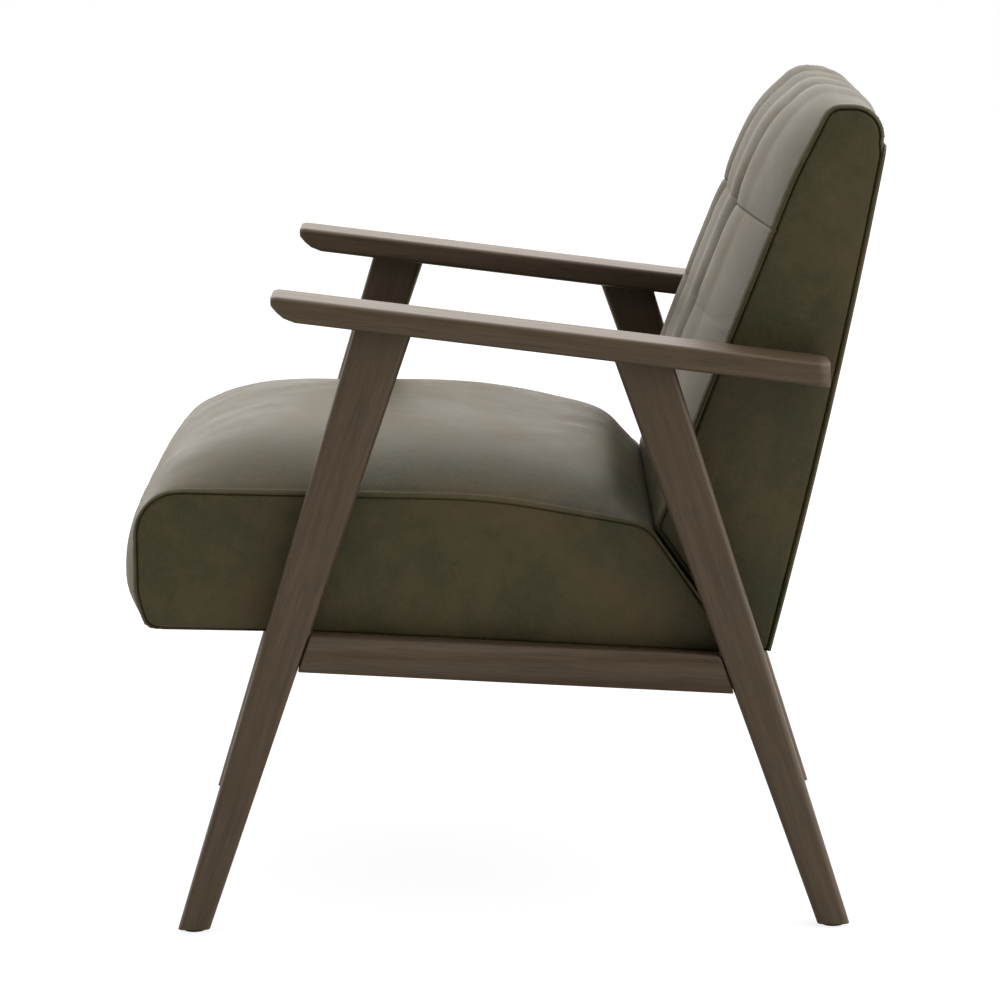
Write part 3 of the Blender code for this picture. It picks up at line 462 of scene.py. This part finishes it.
# Beside the seam the panel's edge is folded under and topstitched, which raises a ridge 3 mm wide.
ridge_at = np.array([0, 0.6, 1.2, 1.9, 2.6, 3.4, 4.6, 8.0]) / 1000
ridge_size = np.array([-1.6, -0.9, -0.1, 0.35, 0.2, -0.35, -0.4, 0.0]) / 1000
seam_fade = np.clip((1 - seam_share) * seam_length / 0.03, 0, 1) * np.clip(seam_share * seam_length / 0.012, 0, 1)
seat_run = seam_share * seam_length


def wander(run, long, short):
    """A smooth line that wanders between about -1 and 1, with no pattern to its steps."""
    return 0.55 * np.sin(2 * np.pi * run / long + 2.1 * np.sin(run / (0.6 * long))) + 0.45 * np.sin(
        2 * np.pi * run / short + 1.3 + 1.7 * np.sin(run / long)
    )


def beside(distance, peak):
    """Rises from 0 at a seam to 1 at the peak's distance from it, then dies away."""
    return distance / peak * math.exp(1 - distance / peak)


seat_pucker_height = 0.00045
seat_fold_height = 0.0009
other_side = 3.1  # starts the puckers elsewhere on the left, so that the two sides differ


def seat_swell(x):
    """How far the top panel stands out from the side seam's line, at one place across."""
    from_edge = seat_half - abs(x)
    swell = crown * (1 - (abs(x) / seat_half) ** 5)
    # Beside the seam the leather is gathered into small puckers; further in it lies in long soft folds.
    puckers = wander(seat_run + (other_side if x > 0 else 0.0), 0.023, 0.0145)
    folds = wander(seat_run + 0.35 * x, 0.110, 0.067) * wander(x + 0.2 * seat_run, 0.190, 0.083)
    relief = np.interp(from_edge, ridge_at, ridge_size) + seat_pucker_height * puckers * beside(from_edge, 0.012)
    relief = relief + seat_fold_height * folds * min(1, from_edge / 0.05)
    return swell + relief * on_seam * seam_fade


offsets = [seat_swell(x) for x in across]


def panel_swell(from_seam):
    """A side panel starts 0.8 mm in from the cushion's edge and swells over its padding."""
    return 0.0012 * (1 - np.exp(-from_seam / 0.02)) - 0.0008


def seat_side_depth(from_seam):
    """The seat's side panel tucks 3 mm into its seam."""
    tuck = 0.0030 * np.clip(1 - from_seam / 0.0026, 0, 1) ** 2
    return -tuck + panel_swell(from_seam)


seat_mesh = cushion_mesh(
    "seat_cushion", seat_loop, across, offsets, seat_half, ((-0.28, 0.350), (0.165, 0.296)), seat_side_depth
)
seat_mesh.materials.append(olive_leather)
seat = bpy.data.objects.new("seat_cushion", seat_mesh)
bpy.context.scene.collection.objects.link(seat)
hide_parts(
    "seat_top_cover", "left_seat_side_cover", "right_seat_side_cover",
    "left_seat_welt", "right_seat_welt", "seat_foam",
)
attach(seat, "root")


# ---------------------------------------------------------------- back cushion
# A wedge of foam on a wooden frame: the front panel is tufted into a grid of shallow pads by
# stitched channels, the side panels are plain, and piping edges the rear panel.

back_half = 0.2647
back_bottom = 0.2526
back_height = 0.770
rear_seam_height = 0.732
tuft_columns = (-0.088, 0.088)
tuft_heights = (0.656, 0.560, 0.464)
tuft_weights = (0.6, 0.6, 1.0)  # how hard each row is pulled in, in the order of height_along, lowest first


def back_rear_edge(z):
    """How far back the slightly bowed rear face of the back lies at a height."""
    share = (z - back_bottom) / (back_height - back_bottom)
    return 0.2527 + 0.2247 * (z - back_bottom) + 0.022 * share * (1 - share)


def smooth_line(points, steps=8):
    """A Catmull-Rom line through the points."""
    points = np.array(points, float)
    padded = np.vstack([2 * points[0] - points[1], points, 2 * points[-1] - points[-2]])
    line = []
    for a, b, c, d in zip(padded, padded[1:], padded[2:], padded[3:]):
        for step in range(steps):
            t = step / steps
            bend, twist = 2 * a - 5 * b + 4 * c - d, 3 * b - a - 3 * c + d
            line.append(0.5 * (2 * b + (c - a) * t + bend * t**2 + twist * t**3))
    line.append(points[-1])
    return np.array(line)


knee = np.array((0.1441, 0.375))
foot = np.array((0.2232, 0.2601))
face = [knee]
for share, thickness in ((0.14, 0.130), (0.25, 0.126), (0.44, 0.113), (0.65, 0.097), (0.826, 0.083), (0.94, 0.069)):
    z = knee[1] + (back_height - knee[1]) * share
    face.append((back_rear_edge(z) - thickness, z))
face = smooth_line(face)
top_z = back_height + 0.001
last_run = face[-1] - face[-2]
top_front = face[-1] + last_run * (top_z - face[-1][1]) / last_run[1]
rear_inset = 0.0042  # the leather runs in under the piping by this much
end_z = rear_seam_height + 0.004
top_line = rounded(
    [face[-1], top_front, (back_rear_edge(top_z) - rear_inset, top_z), (back_rear_edge(end_z) - rear_inset, end_z)],
    [0.017, 0.029],
)
front_line = np.vstack([[foot], face, top_line[1:]])
front_length = lengths(front_line)[-1]
height_along = np.interp(tuft_heights[::-1], face[:, 1], lengths(front_line)[1 : len(face) + 1])
front_places = graded(0, front_length, 0.006, height_along)
rear_heights = np.linspace(end_z - 0.012, back_bottom + 0.004, 60)
rear_line = np.column_stack([back_rear_edge(rear_heights) - rear_inset, rear_heights])
sole_line = np.array([rear_line[-1], foot])
sole_places = graded(0, lengths(sole_line)[-1], 0.01)[1:-1]
back_loop = np.vstack([line_at(front_line, front_places), rear_line, line_at(sole_line, sole_places)])
front_count = len(front_places)
along_front = np.concatenate([front_places, np.full(len(back_loop) - front_count, front_length)])
on_front = np.concatenate([np.ones(front_count), np.zeros(len(back_loop) - front_count)])
share_front = along_front / front_length
# The face is flat up to the knee, where it leaves the seat, fullest halfway up, and flat again over the top.
knee_share = 0.2181
back_crown_height = 0.029
above_knee = np.array(
    (0.0, 0.057, 0.146, 0.261, 0.427, 0.669, 0.745, 0.803, 0.837, 0.860, 0.879, 0.911, 0.936, 1.0)
)
back_crown = back_crown_height * np.interp(
    share_front, (0.0, *(knee_share + (1 - knee_share) * above_knee)),
    (0.0, 0.0, 0.20, 0.80, 0.96, 1.0, 1.0, 0.98, 0.84, 0.50, 0.21, 0.12, 0.06, 0.02, 0.0),
) * on_front
for _ in range(10):
    back_crown = (np.roll(back_crown, 1) + back_crown + np.roll(back_crown, -1)) / 3 * on_front


def dip(distance, reach, power=2.6):
    """How far leather is pulled in beside a line of stitches: 1 at the line, 0 at its reach and beyond."""
    return (1 - np.clip(abs(distance) / reach, 0, 1)) ** power


low_fade = np.clip((along_front - 0.16) / 0.05, 0, 1) * on_front
top_fade = np.clip((front_length - 0.03 - along_front) / 0.05, 0, 1)
top_of_face = lengths(front_line)[len(face)]
across = edge_columns(back_half, 0.006, tuft_columns)
groove_at = np.array([0, 0.7, 1.3, 1.9, 2.5, 3.8, 7.0]) / 1000
groove_size = np.array([-3.2, -1.8, -0.7, -0.2, -0.05, 0.0, 0.0]) / 1000
back_z = back_loop[:, 1]
on_rear = np.concatenate([
    np.zeros(front_count), np.ones(len(rear_line)), np.zeros(len(back_loop) - front_count - len(rear_line)),
])
on_rear = on_rear * np.clip((rear_seam_height - 0.003 - back_z) / 0.010, 0, 1)
on_rear = on_rear * np.clip((back_z - back_bottom - 0.004) / 0.010, 0, 1)


channel_depth, pinch_depth = 0.0100, 0.0085
channel_reach, pinch_reach = 0.042, 0.030
pad_swell = 0.0035
other_back_side = 2.3  # as other_side, for the back's gathers
pad_dip, crossing_dip = 0.0022, 0.0045  # a cross seam's depth in the middle of a pad, and more by a channel
stitch_crease = 0.0022  # half the width of the sharp crease that a line of stitches pulls


def back_swell(x):
    """How far the back's leather stands out from the side seam's line, at one place across."""
    from_edge = back_half - abs(x)
    from_channel = min(abs(x - column) for column in tuft_columns)
    size = back_crown * (1 - (abs(x) / back_half) ** 4)
    # Down each channel the pull is deepest at the pinched crossings, and it fades over the top.
    pinch = sum(
        weight * np.exp(-(((along_front - spot) / pinch_reach) ** 2))
        for spot, weight in zip(height_along, tuft_weights)
    )
    depth = (channel_depth + pinch_depth * np.clip(pinch, 0, 1)) * np.interp(
        along_front, (top_of_face - 0.10, top_of_face, front_length), (1.0, 0.32, 0.10)
    )
    size = size - depth * dip(from_channel, channel_reach, 1.9) * low_fade
    if abs(x) < back_half - 0.02:
        size = size + pad_swell * math.sin(math.pi * min(from_channel / tuft_columns[-1], 1)) * low_fade
    # The cross seams are shallower, and shallowest in the middle of a pad.
    # Only the top one is stitched, and only on the two outer pads.
    outer = min(1.0, max(0.0, (abs(x) - tuft_columns[-1]) / 0.004))
    edge_way = min(1.0, from_edge / 0.03)
    near_channel = math.exp(-((from_channel / pinch_reach) ** 2))
    for spot, weight in zip(height_along, tuft_weights):
        soft = (pad_dip * weight**2 + crossing_dip * weight * near_channel) * edge_way
        sharp = 0.0013 * outer * weight**8
        size = size - soft * dip(along_front - spot, pinch_reach) * low_fade
        size = size - sharp * dip(along_front - spot, stitch_crease, 1.5) * low_fade
    size = size - 0.0011 * dip(from_channel, stitch_crease, 1.5) * low_fade * top_fade
    size = size + np.interp(from_edge, groove_at, groove_size) * on_front
    # Small folds run out from the seams and channels, where the leather is drawn in.
    gathers = wander(along_front + (other_back_side if x > 0 else 0.0), 0.026, 0.0165)
    pulled = 0.00035 * beside(from_edge, 0.012) + 0.0006 * beside(from_channel, 0.010)
    size = size + gathers * pulled * low_fade * top_fade
    # The rear panel lies between the runs of piping, a little proud of them.
    rise = np.clip((from_edge - 0.0025) / 0.010, 0, 1)
    proud = 0.0037 + 0.0045 * (1 - (x / back_half) ** 4)
    return size + on_rear * rise * rise * (3 - 2 * rise) * proud


offsets = [back_swell(x) for x in across]


def back_side_depth(from_seam):
    """The back's side panel tucks 3.6 mm into its seam."""
    tuck = 0.0036 * np.clip(1 - from_seam / 0.0028, 0, 1) ** 2
    return -tuck + panel_swell(from_seam)


back_mesh = cushion_mesh(
    "back_cushion", back_loop, across, offsets, back_half, ((0.222, 0.330), (0.318, 0.725)), back_side_depth
)
back_mesh.materials.append(olive_leather)
back = bpy.data.objects.new("back_cushion", back_mesh)
bpy.context.scene.collection.objects.link(back)
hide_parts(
    "back_front_cover", "left_back_side_cover", "right_back_side_cover", "back_rear_cover", "back_foam",
)
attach(back, "root")


# ---------------------------------------------------------------- stitching
# Bonded nylon thread, dyed to match and a little darker than the leather. A row of lockstitches 3.6 mm apart
# runs beside each side seam, down the back's two channels and across its two outer pads.


def bonded_thread():
    """Twisted nylon: dark olive with a slight sheen. Its twist is too fine to show, so it is drawn 1 mm long."""
    finish, tree, shader, place = bare_finish("bonded_nylon_thread")
    strands = add(tree, "ShaderNodeTexNoise", {"Vector": place, "Scale": 900.0, "Detail": 2.0})
    ramp = add(tree, "ShaderNodeValToRGB", {"Fac": strands.outputs["Fac"]})
    ramp.color_ramp.elements[0].color = tint("#1f1d12")
    ramp.color_ramp.elements[1].color = tint("#4b4630")
    tree.links.new(ramp.outputs["Color"], shader.inputs["Base Color"])
    shader.inputs["Roughness"].default_value = 0.55
    shader.inputs["IOR"].default_value = 1.53
    return finish


stitch_sizes = {"Pitch": 0.0036, "Stitch Length": 0.0027, "Thread Radius": 0.0003}


def stitch_rows():
    """A geometry tree that lays short lengths of thread along its input's edges."""
    tree = bpy.data.node_groups.new("stitch_rows", "GeometryNodeTree")
    tree.interface.new_socket("Geometry", in_out="INPUT", socket_type="NodeSocketGeometry")
    for label, size in stitch_sizes.items():
        socket = tree.interface.new_socket(label, in_out="INPUT", socket_type="NodeSocketFloat")
        socket.default_value = size
    tree.interface.new_socket("Thread", in_out="INPUT", socket_type="NodeSocketMaterial")
    tree.interface.new_socket("Geometry", in_out="OUTPUT", socket_type="NodeSocketGeometry")
    given = add(tree, "NodeGroupInput").outputs
    row = add(tree, "GeometryNodeMeshToCurve", {"Mesh": given["Geometry"]}).outputs["Curve"]
    spaced = add(tree, "GeometryNodeResampleCurve", {
        "Curve": row, "Length": given["Pitch"],
    }, mode="LENGTH").outputs["Curve"]
    along = add(tree, "GeometryNodeInputTangent").outputs["Tangent"]
    lie = add(tree, "FunctionNodeAlignRotationToVector", {"Vector": along}, axis="Z").outputs["Rotation"]
    thread = add(tree, "GeometryNodeMeshCylinder", {
        "Vertices": 6, "Radius": given["Thread Radius"], "Depth": given["Stitch Length"],
    }).outputs["Mesh"]
    laid = add(tree, "GeometryNodeInstanceOnPoints", {"Points": spaced, "Instance": thread, "Rotation": lie})
    solid = add(tree, "GeometryNodeRealizeInstances", {"Geometry": laid.outputs["Instances"]}).outputs["Geometry"]
    dyed = add(tree, "GeometryNodeSetMaterial", {"Geometry": solid, "Material": given["Thread"]}).outputs["Geometry"]
    add(tree, "NodeGroupOutput", {"Geometry": dyed})
    return tree


thread_finish = bonded_thread()
stitch_tree = stitch_rows()


def stitched(name, lines):
    """Stitches along open lines of points, as one plain mesh, freed from the tree that made it."""
    points, edges = [], []
    for line in lines:
        edges += [(len(points) + i, len(points) + i + 1) for i in range(len(line) - 1)]
        points += [tuple(map(float, point)) for point in line]
    guide_mesh = bpy.data.meshes.new("stitch_guide")
    guide_mesh.from_pydata(points, edges, [])
    guide = bpy.data.objects.new("stitch_guide", guide_mesh)
    bpy.context.scene.collection.objects.link(guide)
    rows = guide.modifiers.new("rows", "NODES")
    rows.node_group = stitch_tree
    inputs = {item.name: item.identifier for item in stitch_tree.interface.items_tree if item.in_out == "INPUT"}
    for label, size in stitch_sizes.items():
        rows[inputs[label]] = size
    rows[inputs["Thread"]] = thread_finish
    graph = bpy.context.evaluated_depsgraph_get()
    mesh = bpy.data.meshes.new_from_object(guide.evaluated_get(graph), depsgraph=graph)
    bpy.data.objects.remove(guide)
    mesh.name = name
    mesh.shade_smooth()
    mesh.set_sharp_from_angle(angle=math.radians(60))
    piece = bpy.data.objects.new(name, mesh)
    bpy.context.scene.collection.objects.link(piece)
    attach(piece, "root")


thread_lift = 0.00005
seat_row_inset, back_row_inset = 0.0024, 0.0036  # from the cushion's side to its row of stitches
seat_ways, back_ways = outward_ways(seat_loop), outward_ways(back_loop)
rows = []
for x in (seat_row_inset - seat_half, seat_half - seat_row_inset):
    line = seat_loop + seat_ways * (seat_swell(x) + thread_lift)[:, None]
    rows.append([(x, y, z) for y, z in line[3 : len(seam_places) - 6]])  # short of both ends
stitched("seat_stitching", rows)

rows = []
sewn = [i for i in range(front_count) if 0.17 < along_front[i] < front_length - 0.004]
for x in (back_row_inset - back_half, back_half - back_row_inset, *tuft_columns):
    line = back_loop + back_ways * (back_swell(x) + thread_lift)[:, None]
    rows.append([(x, *line[i]) for i in sewn])
top_row = int(np.argmin(abs(along_front[:front_count] - height_along[-1])))
for side in (-1, 1):
    row = []
    for x in side * np.linspace(tuft_columns[-1] + 0.004, back_half - 0.006, 60):
        y, z = back_loop[top_row] + back_ways[top_row] * (back_swell(x)[top_row] + thread_lift)
        row.append((x, y, z))
    rows.append(row)
stitched("back_stitching", rows)


# ---------------------------------------------------------------- inside and underneath
# What the leather hides: foam on planed pine boards, dowels, sinuous springs, woven webs and zinc-plated bolts.
# Below are the black cloth stapled under the seat and the nylon glides nailed under the feet.


def planed_pine():
    """Unfinished pine: pale yellow with brown growth lines 5 to 6 mm apart and a dry, matt surface."""
    finish, tree, shader, place = bare_finish("planed_pine")
    grain_place = add(tree, "ShaderNodeMapping", {"Vector": place, "Scale": (30, 180, 180)}).outputs["Vector"]
    grain = add(tree, "ShaderNodeTexNoise", {"Vector": grain_place, "Scale": 1.0, "Detail": 4.0, "Distortion": 0.6})
    ramp = add(tree, "ShaderNodeValToRGB", {"Fac": grain.outputs["Fac"]})
    ramp.color_ramp.elements[0].position = 0.35
    ramp.color_ramp.elements[0].color = tint("#b98d57")
    ramp.color_ramp.elements[1].position = 0.62
    ramp.color_ramp.elements[1].color = tint("#dcbd8c")
    relief = add(tree, "ShaderNodeBump", {"Height": grain.outputs["Fac"], "Strength": 0.2, "Distance": 0.0003})
    tree.links.new(ramp.outputs["Color"], shader.inputs["Base Color"])
    tree.links.new(relief.outputs["Normal"], shader.inputs["Normal"])
    shader.inputs["Roughness"].default_value = 0.72
    return finish


def worked_steel(name, dark, pale, roughness):
    """Steel with fine drawing or plating marks half a millimetre apart, which break up its shine."""
    finish, tree, shader, place = bare_finish(name)
    marks = add(tree, "ShaderNodeTexNoise", {"Vector": place, "Scale": 2000.0, "Detail": 3.0})
    ramp = add(tree, "ShaderNodeValToRGB", {"Fac": marks.outputs["Fac"]})
    ramp.color_ramp.elements[0].color = tint(dark)
    ramp.color_ramp.elements[1].color = tint(pale)
    gloss = add(tree, "ShaderNodeMapRange", {
        "Value": marks.outputs["Fac"], "To Min": roughness - 0.08, "To Max": roughness + 0.08,
    })
    tree.links.new(ramp.outputs["Color"], shader.inputs["Base Color"])
    tree.links.new(gloss.outputs["Result"], shader.inputs["Roughness"])
    shader.inputs["Metallic"].default_value = 1.0
    return finish


def woven(name, dark, pale, ways, spacing, roughness):
    """A plain weave: threads this far apart along two ways, matt, with each crossing raised."""
    finish, tree, shader, place = bare_finish(name)
    waves = []  # a wave of scale 1 repeats every pi / 10 metres
    for way in ways:
        waves.append(add(tree, "ShaderNodeTexWave", {
            "Vector": place, "Scale": math.pi / 10 / spacing, "Distortion": 0.8, "Detail": 1.0,
        }, bands_direction=way).outputs["Fac"])
    crossing = add(tree, "ShaderNodeMath", {0: waves[0], 1: waves[1]}, operation="MULTIPLY").outputs[0]
    ramp = add(tree, "ShaderNodeValToRGB", {"Fac": crossing})
    ramp.color_ramp.elements[0].color = tint(dark)
    ramp.color_ramp.elements[1].color = tint(pale)
    relief = add(tree, "ShaderNodeBump", {"Height": crossing, "Strength": 0.5, "Distance": 0.0004})
    tree.links.new(ramp.outputs["Color"], shader.inputs["Base Color"])
    tree.links.new(relief.outputs["Normal"], shader.inputs["Normal"])
    shader.inputs["Roughness"].default_value = roughness
    return finish


def moulded_nylon():
    """Black nylon from a mould: fine spark texture 0.4 mm across and a dull shine."""
    finish, tree, shader, place = bare_finish("moulded_nylon")
    spark = add(tree, "ShaderNodeTexNoise", {"Vector": place, "Scale": 2500.0, "Detail": 2.0})
    ramp = add(tree, "ShaderNodeValToRGB", {"Fac": spark.outputs["Fac"]})
    ramp.color_ramp.elements[0].color = tint("#141414")
    ramp.color_ramp.elements[1].color = tint("#2c2b29")
    relief = add(tree, "ShaderNodeBump", {"Height": spark.outputs["Fac"], "Strength": 0.2, "Distance": 0.0002})
    tree.links.new(ramp.outputs["Color"], shader.inputs["Base Color"])
    tree.links.new(relief.outputs["Normal"], shader.inputs["Normal"])
    shader.inputs["Roughness"].default_value = 0.5
    return finish


def cut_foam():
    """Polyurethane foam, cream and matt, with open cells 1 mm across left by the saw."""
    finish, tree, shader, place = bare_finish("cut_polyurethane_foam")
    cells = add(tree, "ShaderNodeTexVoronoi", {"Vector": place, "Scale": 1000.0})
    ramp = add(tree, "ShaderNodeValToRGB", {"Fac": cells.outputs["Distance"]})
    ramp.color_ramp.elements[0].color = tint("#cdbf9a")
    ramp.color_ramp.elements[1].color = tint("#e6dcc0")
    relief = add(tree, "ShaderNodeBump", {"Height": cells.outputs["Distance"], "Strength": 0.5, "Distance": 0.0004})
    tree.links.new(ramp.outputs["Color"], shader.inputs["Base Color"])
    tree.links.new(relief.outputs["Normal"], shader.inputs["Normal"])
    shader.inputs["Roughness"].default_value = 0.95
    return finish


inner_finish = {
    "leather": olive_leather,
    "foam": cut_foam(),
    "plain_wood": planed_pine(),
    "spring_steel": worked_steel("drawn_spring_steel", "#4b4a49", "#7d7b78", 0.38),
    "bolt_steel": worked_steel("zinc_plated_steel", "#9a9a9c", "#c8c8ca", 0.32),
    "webbing": woven("polypropylene_webbing", "#1d1a17", "#4a443c", "XZ", 0.0012566, 0.85),
    "dust_cloth": woven("spunbonded_dust_cloth", "#101010", "#262524", "XY", 0.00075398, 0.95),
    "nylon": moulded_nylon(),
}
for row in frame["record"]["subparts"]:
    if row["material_slot"] in inner_finish:
        mesh = nodes[row["node"]].data
        mesh.materials.clear()
        mesh.materials.append(inner_finish[row["material_slot"]])
